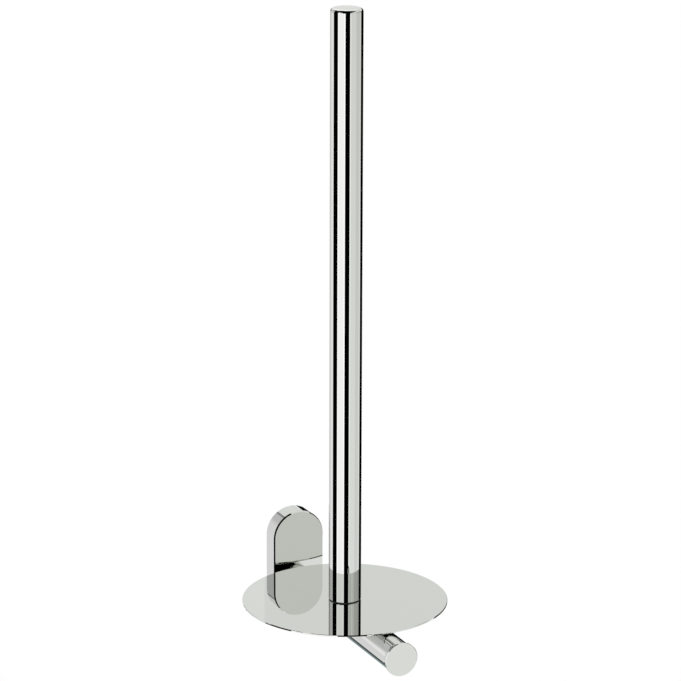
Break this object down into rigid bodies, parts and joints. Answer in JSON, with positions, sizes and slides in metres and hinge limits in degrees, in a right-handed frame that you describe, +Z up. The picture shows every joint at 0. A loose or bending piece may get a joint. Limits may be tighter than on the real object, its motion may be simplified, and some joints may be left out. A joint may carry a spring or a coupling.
{
  "type": "spare toilet roll holder",
  "caption": "Wall-mounted holder for spare toilet rolls: a tall chromed post on a thin round plate, carried by a round arm from a small round-ended wall rosette.",
  "frame": {"origin": "middle of the wall bracket's back face, on the wall", "axes": "+Z up along the post, +Y into the wall, so the arm runs along -Y, +X to the right when facing the wall"},
  "size_m": [0.1274, 0.1631, 0.3997],
  "materials": {
    "polished_chrome": "mirror-polished chrome plating",
    "zinc_casting": "bare pressure-cast zinc, satin grey",
    "screw_steel": "zinc-plated steel",
    "turned_brass": "bare turned brass",
    "black_nylon": "black nylon"
  },
  "bodies": {
    "holder": {"wall_bracket": "zinc_casting", "rosette": "polished_chrome", "arm_tube": "polished_chrome", "arm_end_cap": "polished_chrome", "arm_rear_plug": "turned_brass", "arm_spring_washer": "screw_steel", "arm_screw": "screw_steel", "arm_locating_pin": "screw_steel", "arm_thread_block": "turned_brass", "plate_saddle": "polished_chrome", "roll_plate": "polished_chrome", "post_washer": "black_nylon", "post_stud": "screw_steel", "post_foot_plug": "turned_brass", "post_tube": "polished_chrome", "post_top_cap": "polished_chrome"},
    "lock_screw": {"lock_screw": "screw_steel"}
  },
  "joints": [
    {"name": "lock_screw_travel", "type": "slide", "parent": "holder", "child": "lock_screw", "axis": [0, 0, -1], "range_m": [0, 0.004]}
  ]
}
